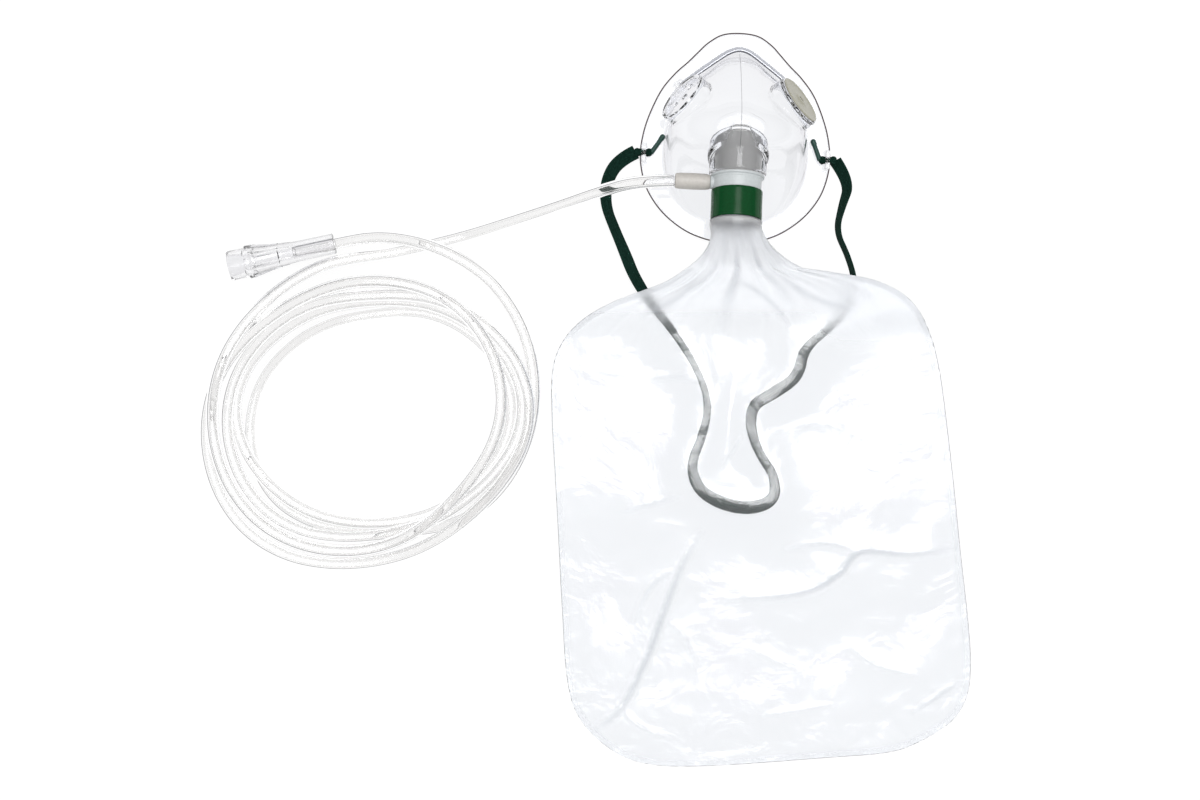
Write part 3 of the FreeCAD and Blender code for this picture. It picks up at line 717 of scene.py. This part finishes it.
def away_from(points, line):
    """Signed distance of each point from a polyline, and how far along it the nearest place is (0 to 1)."""
    best = np.full(len(points), 1e9)
    signed = np.zeros(len(points))
    along = np.zeros(len(points))
    count = len(line) - 1
    for i in range(count):
        a, d = line[i], line[i + 1] - line[i]
        t = np.clip(((points - a) @ d) / (d @ d), 0, 1)
        off = points - a - t[:, None] * d
        far = np.linalg.norm(off, axis=1)
        near = far < best
        best[near] = far[near]
        turn = d[0] * off[:, 1] - d[1] * off[:, 0]
        signed[near] = (np.sign(turn) * far)[near]
        along[near] = ((i + t) / count)[near]
    return signed, along


def smooth_step(x, low, high):
    t = np.clip((x - low) / (high - low), 0, 1)
    return t * t * (3 - 2 * t)


def bag_folds(xy):
    """Height of the folds and wrinkles at each place, and how sharply the film is folded there, which also
    masks the film's painted crease shade.
    """
    height = np.zeros(len(xy))
    fold_and_shade = np.zeros(len(xy))
    for points, wide, tall in FOLDS:
        line = smooth_line(points, 5)
        signed, along = away_from(xy, line)
        taper = np.clip(np.sin(math.pi * np.clip(0.04 + 0.92 * along, 0, 1)), 0, 1) ** 0.6
        steep = np.where(signed > 0, wide * 0.45, wide * 1.5)
        ridge = np.exp(-np.abs(signed) / steep * 1.2 - (signed / steep) ** 2 * 0.4)
        height += tall * taper * ridge
        fold_and_shade = np.maximum(fold_and_shade, taper * np.exp(-(signed / (0.35 * wide)) ** 2) * min(1.0, tall / 1.5))
    x, y = xy[:, 0], xy[:, 1]
    for length, angle, tall, phase in WAVES:
        along = x * math.cos(angle) + y * math.sin(angle)
        bend = 6 * np.sin((x * math.sin(angle) - y * math.cos(angle)) / (0.7 * length) + phase)
        height += tall * np.sin(2 * math.pi * (along + bend) / length + phase)
    return height, fold_and_shade


def neck_rows(shares, rows):
    """Rings of the bag's neck over and under: the sleeve on the connector, its lip, down to the mouth."""
    (left, mouth_y), right = BAG_OUTLINE[0], BAG_OUTLINE[-1][0]
    top = port_point(NECK_END_S)
    across = Vector((-PORT_AXIS.y, PORT_AXIS.x, 0)).normalized()
    up = PORT_AXIS.cross(across)
    mouth = Vector(((left + right) / 2, mouth_y, float(bag_bottom(mouth_y)) + MOUTH_LIFT))
    rings = [(port_point(s), across, up, r, r, 0.0, 0.0) for s, r in NECK_SLEEVE]
    for i in range(1, rows + 1):
        t = i / rows
        eased = t * t * (3 - 2 * t)
        centre = top + (mouth - top) * t
        centre.z = (top.z + (mouth.z - top.z) * eased + NECK_SLOPES[0] * t * (1 - t) ** 2
                    - NECK_SLOPES[1] * t * t * (1 - t))
        wide = NECK_R + ((right - left) / 2 - NECK_R) * t ** 2.1
        tall = NECK_R + (MOUTH_TALL - NECK_R) * eased
        side = across.lerp(Vector((1, 0, 0)), t)
        rise = up.lerp(Vector((0, 0, 1)), t)
        rings.append((centre, side, rise, wide, tall, t, smooth_step(t, 0.02, 0.35)))
    over, under = [], []
    round_angle = math.pi * (1 - shares)
    flat_angle = np.arccos(np.clip(2 * shares - 1, -1, 1))
    for centre, side, rise, wide, tall, t, loose in rings:
        angle = round_angle * (1 - t) + flat_angle * t
        pleat = loose * neck_pleats(shares, t)
        for sheet, sign, share in ((over, 1, 1), (under, -1, 0.3)):
            x = np.cos(angle)[:, None] * np.array(side)[None] * wide
            z = np.sin(angle)[:, None] * sign * np.array(rise)[None] * (tall + pleat * share)[:, None]
            sheet.append(np.array(centre)[None] + x + z)
    return np.array(over[:-1]), np.array(under[:-1])


def neck_pleats(shares, t):
    """Relief of the gathered film round the neck."""
    fade = np.sin(math.pi * np.clip(shares, 0, 1)) ** 0.4
    swing = 0.35 * t
    wave = (0.55 * np.sin(2 * math.pi * (5.3 * shares + swing) + 0.6)
            + 0.40 * np.sin(2 * math.pi * (9.1 * shares - 1.6 * swing) + 2.1)
            + 0.22 * np.sin(2 * math.pi * (15.7 * shares + 0.7 * swing) + 4.0))
    return 1.5 * wave * fade * (0.35 + 0.65 * t)


def strap_sag(flat, base):
    """How far the film sinks towards the table away from the strap, which holds it up."""
    near = np.abs(away_from(flat, strap_path()[0][::6, :2])[0])
    sag = SAG_DEEP * np.clip((base - 1.0) / 6.9, 0, 1) * (1 - np.exp(-(near / SAG_REACH) ** 2))
    return sag * smooth_step(-flat[:, 1], -44, -30)


def bag_sheets(flat, inside, shares, pleat):
    """Heights of the upper and the lower film at each place, and how sharply the film is folded."""
    x, y = flat[:, 0], flat[:, 1]
    height, fold_and_shade = bag_folds(flat)
    wander = 9 * np.sin(x / 26 + 0.5) + 4 * np.sin(x / 11)
    base = bag_bottom(y + wander * smooth_step(-y, -46, -20))
    under = base - strap_sag(flat, base)
    calm = smooth_step(inside, *CALM_EDGE)
    puff = 0.35 + 0.95 * smooth_step(inside, 2.2, 4.2) + 0.9 * smooth_step(inside, 6, 34)
    into_neck = smooth_step(-y, -61.5, -30)
    ridge = SEAL_RIDGE * np.sin(2 * math.pi * (inside + 0.2) / 2.6) * np.exp(-((inside - 1.9) / 1.2) ** 2)
    over = under + puff + calm * (height + 0.5) * (0.25 + 0.75 * into_neck) + ridge + pleat
    low = under + TABLE_GAP + 0.3 * calm * np.maximum(height, 0) + 0.15 * pleat
    mouth = np.exp(-((61.5 - y) / MOUTH_REACH) ** 2)
    flare = np.tile(np.sqrt(1 - (2 * shares - 1) ** 2), len(flat) // len(shares))
    over = over * (1 - mouth) + mouth * (base + MOUTH_LIFT + flare * (MOUTH_TALL + pleat))
    low = low * (1 - mouth) + mouth * (base + MOUTH_LIFT - flare * (MOUTH_TALL + 0.3 * pleat))
    low = np.maximum(low, TABLE_GAP)
    over = np.maximum(over, low + FILMS_APART)
    border = inside < 0.02
    middle = (over + low) / 2
    over[border] = middle[border]
    low[border] = middle[border]
    return over, low, fold_and_shade


def film_marks(flat, inside, shares, pleat, fold_and_shade, extra):
    """What the film's material reads at each vertex of one film: its extra rows of neck, then its body."""
    x, y = flat[:, 0], flat[:, 1]
    neck_edge = np.minimum(shares, 1 - shares)
    neck_seal = [(1 - smooth_step(neck_edge, 0.01, 0.03)) * (i > 14) for i in range(extra)]
    loose = smooth_step(y, 18, 50) * smooth_step(x, 16, 40)
    loose = np.maximum(loose, 0.45 * smooth_step(y, 30, 52))
    waves = [np.zeros(len(shares))] * (extra - NECK_ROWS + 1)
    waves += [neck_pleats(shares, (i + 1) / NECK_ROWS) for i in range(NECK_ROWS - 1)]
    # painted shade in the valleys of the neck's pleats, carried in the fold attribute
    pleat_valley_shade = [np.clip(-0.55 * wave, 0, 0.7) for wave in waves + [pleat]]
    return {"fold_and_shade": np.concatenate(pleat_valley_shade[:-1] + [np.maximum(fold_and_shade, pleat_valley_shade[-1])]),
            "seal": np.concatenate(neck_seal + [1 - smooth_step(inside, *SEAL_EDGE)]),
            "loose": np.concatenate([np.full(extra * len(shares), 0.45), loose])}


def reservoir_bag():
    """Both films, the heat seal round them and the gathered neck, as one skin."""
    columns, rows = BAG_GRID
    grid, shares = bag_plan(columns, rows)
    flat = grid.reshape(-1, 2)
    inside = np.abs(away_from(flat, smooth_line(BAG_OUTLINE, 4))[0])
    fade = [math.exp(-(i / (rows * 0.16)) ** 2) for i in range(rows)]
    pleat = np.concatenate([neck_pleats(shares, 1.0) * share for share in fade])
    over, low, fold_and_shade = bag_sheets(flat, inside, shares, pleat)
    films = []
    for sheet, neck in zip((over, low), neck_rows(shares, NECK_ROWS)):
        body = np.concatenate([flat, sheet[:, None]], axis=1).reshape(rows, columns, 3)
        films.append(np.concatenate([neck, body], axis=0))
    total = len(films[0])
    shift = total * columns
    faces = grid_faces(total, columns)
    faces = [tuple(reversed(f)) for f in faces] + [tuple(shift + i for i in f) for f in faces]
    made = make_mesh("reservoir_bag", np.concatenate([f.reshape(-1, 3) for f in films]), faces, None)
    for label, values in film_marks(flat, inside, shares, pleat, fold_and_shade, total - rows).items():
        attribute = made.data.attributes.new(label, "FLOAT", "POINT")
        attribute.data.foreach_set("value", np.concatenate([values, values]).astype(np.float32))
    weld = made.modifiers.new("weld", "WELD")
    weld.merge_threshold = 0.00002
    thick = made.modifiers.new("film", "SOLIDIFY")
    thick.thickness = 0.00018
    thick.offset = 0
    made.data.materials.append(MATERIALS["bag_film"])
    return apply_modifiers(made)


# ---- mask -----------------------------------------------------------------------

def loop_tube(name, path, section):
    """A closed ring swept along a closed path."""
    p = np.array(path, float)
    ring = np.vstack([p[-2:], p, p[:2]])
    rings = swept(ring, section, (0, 0, 1))[2:-2]
    faces = grid_faces(len(p), len(section), closed_rows=True, closed_columns=True)
    return make_mesh(name, rings.reshape(-1, 3), faces, None)


def rim_line(inset, height, per_span=8):
    """The rim's outline in the frame of the part, moved inwards."""
    half = RIM_HALF + [(-u, v) for u, v in reversed(RIM_HALF[1:-1])]
    line = smooth_line(half, per_span, closed=True)
    way = np.roll(line, -1, axis=0) - np.roll(line, 1, axis=0)
    way /= np.linalg.norm(way, axis=1)[:, None]
    inward = np.stack([way[:, 1], -way[:, 0]], axis=1)
    moved = line + inward * inset
    return [tuple(in_mask(u, v, height)) for u, v in moved]


def joined(name, pieces):
    """One object from several, which are taken away."""
    bpy.ops.object.select_all(action="DESELECT")
    for piece in pieces:
        piece.select_set(True)
    bpy.context.view_layer.objects.active = pieces[0]
    bpy.ops.object.join()
    made = bpy.context.view_layer.objects.active
    made.name = name
    return made


def arch(made):
    """Slants the inner end of a sleeve on the port's axis, so that it reaches furthest at its top."""
    start = port_point(0)
    side = PORT_AXIS.cross(Vector((0, 0, 1))).normalized()
    up = side.cross(PORT_AXIS)
    for vertex in made.data.vertices:
        off = vertex.co / MM - start
        if off.dot(PORT_AXIS) < ARCH_FROM:
            lower = 1 - off.dot(up) / math.hypot(off.dot(up), off.dot(side))
            vertex.co += PORT_AXIS * (ARCH_RISE * min(lower, 1.0) * MM)


def crown(made):
    """Rounds the dome's flat top."""
    turn = Matrix.Rotation(-MASK_TURN, 3, "Z")
    half_u, half_v = CROWN_HALF
    for vertex in made.data.vertices:
        place = turn @ (vertex.co / MM - Vector((*MASK_PLACE, 0)))
        near = 1 - (place.x / half_u) ** 2 - ((place.y - CROWN_V) / half_v) ** 2
        if near > 0 and place.z > CROWN_FROM:
            vertex.co.z += CROWN_RISE * near * near * MM


def mask_shell():
    """The moulding: the CAD's walls with a rolled rim, and corners eased as a mould leaves them."""
    base = in_scene(bpy.data.objects.new("mask_base", frame["nodes"]["mask_shell"].data.copy()))
    base.data.materials.clear()
    sleeve = lathe("mask_socket", [(-20.0, 11.25), (-20.0, 13.3), (-0.5, 13.3), (-0.5, 11.25)], port_point(0),
                   PORT_AXIS, None, 96)
    arch(sleeve)
    bead = loop_tube("mask_bead", rim_line(1.1, 0.95), circle(0.85, 12))
    made = joined("mask_clear_shell", [base, sleeve, bead])
    for attribute in list(made.data.attributes):
        if attribute.name.startswith(("custom", "sharp")):
            made.data.attributes.remove(attribute)
    remesh = made.modifiers.new("remesh", "REMESH")
    remesh.mode = "VOXEL"
    remesh.voxel_size = 0.00042
    ease = made.modifiers.new("ease", "SMOOTH")
    ease.factor = 0.5
    ease.iterations = 13
    made = apply_modifiers(made)
    crown(made)
    made.data.materials.clear()
    made.data.materials.append(MATERIALS["clear_pvc"])
    for polygon in made.data.polygons:
        polygon.use_smooth = True
    return made


def mask_rim_shade_line():
    """A dark opaque rod round the rim: painted shade for the dark line that the clear rolled edge shows round
    the mask.
    """
    made = loop_tube("mask_rim_painted_shade", rim_line(0.1, FLANGE_TOP), circle(0.30, 10))
    made.data.materials.append(MATERIALS["rim"])
    return made


def mould_line():
    """Raised line that the mould's parting leaves on the dome, from the clip to the port."""
    shell = frame["nodes"]["mask_shell"]
    skin = BVHTree.FromPolygons([shell.matrix_world @ v.co for v in shell.data.vertices],
                                [tuple(p.vertices) for p in shell.data.polygons])
    path = []
    for v in np.arange(49.5, -2.5, -1.0):
        place, normal, index, far = skin.ray_cast(in_mask(0, v, 80.0) * MM, Vector((0, 0, -1)))
        if place:
            path.append(tuple(place / MM + Vector((0, 0, 0.05))))
    return capped_tube("mask_mould_line", nurbs_line(path, 4), 0.09, 8, MATERIALS["mould"])


def nose_clip_shade_line():
    """A dark rod along the inner side of the clip's strip: painted shade for the dark reflection on the
    strip's inner face.
    """
    points = both_sides([(-26.6, 32.9), (-19.8, 38.0), (-11.6, 44.2), (-3.2, 50.2)])
    path = nurbs_line([tuple(in_mask(u, v, 5.2)) for u, v in points], 10)
    return capped_tube("nose_clip_shade_line", path, 0.27, 10, MATERIALS["aluminium_painted_shade"])


def nose_clip():
    points = both_sides([(-27.4, 33.2), (-25.4, 34.9), (-20.0, 39.4), (-12.0, 45.5), (-3.4, 51.6)])
    path = nurbs_line([tuple(in_mask(u, v, 4.1)) for u, v in points], 10)
    lean = math.radians(24)
    corners = rounded([(-0.4, -2.3), (0.4, -2.3), (0.4, 2.3), (-0.4, 2.3)], 0.35, 3)
    section = [(x * math.cos(lean) + y * math.sin(lean), y * math.cos(lean) - x * math.sin(lean))
               for x, y in corners]
    rings = swept(path, section, (0, 0, 1))
    faces = rod_faces(len(path), len(section))
    return make_mesh("nose_clip_strip", rings.reshape(-1, 3), faces, MATERIALS["aluminium"], 50)


def exhalation_flap():
    """Silicone disc: thin in the middle, with a thicker rim and a rounded hub."""
    profile = [(0.0, 1.35), (0.0, 11.2), (0.15, 11.9), (0.75, 12.0), (1.0, 11.7), (0.95, 10.9), (0.62, 10.3),
               (0.55, 6.0), (0.7, 3.4), (1.25, 2.8), (1.3, 1.35)]
    return lathe("exhalation_flap_disc", rounded(profile, 0.25, 2), vent_point(1, 3.55), vent_way(1),
                 MATERIALS["grey_silicone"])


# ---- connector ------------------------------------------------------------------

def connector_shell():
    profile = [(-19.4, 9.2), (-19.4, 10.6), (-18.8, 11.0), (0.3, 11.0), (0.3, 12.4), (1.5, 12.4),
               (1.5, 11.55), (2.3, 11.5), (2.7, 11.25), (7.4, 11.15), (7.4, 10.6), (22.0, 10.6),
               (22.0, 11.8), (24.0, 11.8), (24.0, 9.2)]
    made = lathe("connector_shell", rounded(profile, 0.35, 3), port_point(0), PORT_AXIS,
                 MATERIALS["frosted_plastic"], 128)
    arch(made)
    # painted light: the spigot inside the socket and the lip end take the lighter copy of the frosted plastic
    made.data.materials.append(MATERIALS["frosted_painted_light"])
    for polygon in made.data.polygons:
        s = (polygon.center / MM - port_point(0)).dot(PORT_AXIS)
        if s < 0.3 or s > 21.5:
            polygon.material_index = 1
    return made


def inlet_spout():
    profile = [(10.0, 1.2), (10.0, 3.3), (12.5, 3.25), (12.6, 2.0), (23.4, 2.0), (24.0, 1.7), (24.0, 1.2)]
    return lathe("inlet_spout", rounded(profile, 0.25, 2), port_point(INLET_S), mask_way(-1, 0, 0),
                 MATERIALS["frosted_plastic"], 48)


def inlet_cuff():
    """Soft sleeve over the joint, a little barrelled."""
    profile = [(12.6, 2.1), (12.6, 3.3), (14.5, 3.7), (20.0, 3.85), (26.5, 3.75), (28.4, 3.5), (28.8, 3.1),
               (28.8, 2.1)]
    return lathe("inlet_cuff_sleeve", rounded(profile, 0.4, 3), port_point(INLET_S), mask_way(-1, 0, 0),
                 MATERIALS["beige_cuff"], 64)


def neck_band():
    profile = [(7.5, 11.0), (7.5, 11.75), (8.3, 11.9), (14.4, 11.82), (20.5, 11.9), (21.3, 11.75),
               (21.3, 11.0)]
    return lathe("neck_band_sleeve", rounded(profile, 0.3, 3), port_point(0), PORT_AXIS,
                 MATERIALS["green_band"], 128)


def end_connector():
    """Clear funnel with six tapering ribs behind its ring."""
    outer = [(0.0, 4.75), (20.0, 4.85), (31.5, 5.3), (39.4, 6.3), (40.2, 7.75), (41.9, 7.85), (42.6, 6.9),
             (50.6, 7.05)]
    inner = [(50.6, 5.6), (39.0, 3.4), (27.0, 3.3), (26.6, 2.2), (TUBE_INSERT, 2.2), (TUBE_INSERT, 3.02),
             (0.0, 3.02)]

    def ribbed(angle, s, r):
        if r < 4.5 or not 18.0 < s < 40.0:
            return r
        grow = min(1.0, (s - 18.0) / 20.0)
        return r + 1.5 * grow * max(0.0, math.cos(6 * angle)) ** 12

    steps = []
    for (s0, r0), (s1, r1) in zip(outer, outer[1:]):
        parts = max(1, int((s1 - s0) / 2.5))
        steps += [(s0 + (s1 - s0) * k / parts, r0 + (r1 - r0) * k / parts) for k in range(parts)]
    steps.append(outer[-1])
    direction = Vector((math.cos(END_TURN), math.sin(END_TURN), 0))
    return lathe("end_funnel", rounded(steps + inner, 0.25, 2), END_AT, direction,
                 MATERIALS["clear_connector"], 144, ribbed)


def strap_ends(side, name):
    """The gathered end of the strap in its ear, and the hard tip inboard of it."""
    start = in_mask(side * 39.8, *EAR_AT[1:])
    out = mask_way(side, 0, 0)
    profile = [(-0.4, 0.0), (-0.3, 1.1), (0.8, 1.9), (2.2, 1.6), (4.0, 1.45), (5.6, 1.7), (7.0, 1.9),
               (8.0, 1.2), (8.2, 0.0)]

    def creased(angle, s, r):
        return r * (1 + 0.13 * math.sin(5 * angle + s * 1.7) + 0.08 * math.sin(9 * angle - s * 2.3))

    gather = lathe("strap_gather_" + name, rounded(profile, 0.3, 2, closed=False), start, out,
                   MATERIALS["green_elastic"], 48, creased, None)
    way = mask_way(0.55, 0.83, 0.12) if side < 0 else mask_way(-0.38, 0.92, 0.12)
    tip_profile = [(-2.0, 0.0), (-2.0, 1.05), (-1.4, 1.15), (5.6, 1.1), (6.0, 1.3), (7.9, 1.35), (8.6, 0.9),
                   (8.8, 0.0)]
    tip = lathe("strap_tip_rod_" + name, rounded(tip_profile, 0.3, 3, closed=False), start + way * 1.6, way,
                MATERIALS["green_tip"], 40, None, 50)
    return gather, tip


# ---- stage ----------------------------------------------------------------------

def stage():
    floor_mesh = bpy.data.meshes.new("table")
    wide = 2.2
    floor_mesh.from_pydata([(-wide, -wide, 0), (wide, -wide, 0), (wide, wide, 0), (-wide, wide, 0)], [],
                           [(0, 1, 2, 3)])
    material, tree = new_material("table")
    shader = node(tree, "ShaderNodeBsdfPrincipled", Base_Color=(0.16, 0.16, 0.16, 1), Roughness=0.9)
    shader.inputs["Specular IOR Level"].default_value = 0.0
    shader.inputs["Emission Color"].default_value = (1.0, 1.0, 1.0, 1)
    shader.inputs["Emission Strength"].default_value = 0.90
    out = node(tree, "ShaderNodeOutputMaterial")
    tree.links.new(shader.outputs[0], out.inputs["Surface"])
    floor_mesh.materials.append(material)
    floor = in_scene(bpy.data.objects.new("table", floor_mesh))
    floor.location = (-0.08, 0, -0.0002)


def softbox():
    data = bpy.data.lights.new("softbox", "AREA")
    data.shape = "DISK"
    data.size = 1.1
    data.energy = 14
    lamp = in_scene(bpy.data.objects.new("softbox", data))
    lamp.location = (0.1, 0.35, 1.7)
    lamp.rotation_mode = "QUATERNION"
    lamp.rotation_quaternion = (Vector((-0.08, 0, 0)) - lamp.location).to_track_quat("-Z", "Y")


def lighting():
    world = bpy.data.worlds.new("studio")
    bpy.context.scene.world = world
    world.use_nodes = True
    tree = world.node_tree
    tree.nodes.clear()
    place = node(tree, "ShaderNodeTexCoord")
    split = node(tree, "ShaderNodeSeparateXYZ")
    light = node(tree, "ShaderNodeBackground", Strength=0.80)
    out = node(tree, "ShaderNodeOutputWorld")
    tree.links.new(place.outputs["Generated"], split.inputs[0])
    colour_ramp(tree, split.outputs["Z"], light.inputs["Color"], (0.05, (0.30, 0.30, 0.32)),
                (0.55, (1.0, 1.0, 1.0)))
    tree.links.new(light.outputs[0], out.inputs["Surface"])


def camera():
    data = bpy.data.cameras.new("camera")
    data.sensor_width = 36
    data.lens = 69.5
    data.clip_start = 0.01
    made = in_scene(bpy.data.objects.new("camera", data))
    made.location = (-0.0764, 0.0, 1.10)
    scene = bpy.context.scene
    scene.camera = made
    scene.view_settings.view_transform = "Standard"
    scene.cycles.max_bounces = 24
    scene.cycles.transmission_bounces = 24
    scene.cycles.transparent_max_bounces = 40
    scene.cycles.caustics_reflective = False
    scene.cycles.caustics_refractive = False


# ---- the object -----------------------------------------------------------------

camera()
lighting()
softbox()
stage()

tube, tube_line = supply_tube()
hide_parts("supply_tube_lead", "supply_tube_coil", "supply_tube_tail")
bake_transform(tube, "connector", "mask_and_bag", start=tuple(tube_line[0] * MM), end=(-0.112, 0.0865, 0.008))
settle_piece(end_connector(), "mask_and_bag", "clear_connector", "end_connector")

strap, strap_line = head_strap()
settle_piece(strap, "strap", "green_elastic", "head_strap")
strap_pieces = []
for side, name in ((-1, "left"), (1, "right")):
    gather, tip = strap_ends(side, name)
    settle_piece(gather, "strap", "green_elastic")
    settle_piece(tip, "strap", "green_tip", "strap_tip_" + name)
    strap_pieces += [gather, tip]

settle_piece(mask_shell(), "mask_and_bag", "clear_pvc", "mask_shell")
settle_piece(mask_rim_shade_line(), "mask_and_bag", "clear_pvc")
settle_piece(mould_line(), "mask_and_bag", "clear_pvc")
settle_piece(nose_clip(), "mask_and_bag", "aluminium", "nose_clip")
settle_piece(nose_clip_shade_line(), "mask_and_bag", "aluminium")
settle_piece(exhalation_flap(), "exhalation_flap", "grey_silicone", "exhalation_flap")
settle_piece(connector_shell(), "connector", "frosted_plastic", "connector_body")
settle_piece(inlet_spout(), "connector", "frosted_plastic")
settle_piece(inlet_cuff(), "connector", "beige_cuff", "inlet_cuff")
settle_piece(neck_band(), "mask_and_bag", "green_band", "neck_band")
settle_piece(reservoir_bag(), "mask_and_bag", "bag_film", "bag_neck", "bag_front_film", "bag_back_film",
             "bag_seam")

for name, made in frame["nodes"].items():
    slot = next(s["material_slot"] for s in frame["record"]["subparts"] if s["node"] == name)
    made.data.materials.clear()
    made.data.materials.append(MATERIALS[slot])
    for polygon in made.data.polygons:
        polygon.use_smooth = True
    made.data.set_sharp_from_angle(angle=math.radians(30))
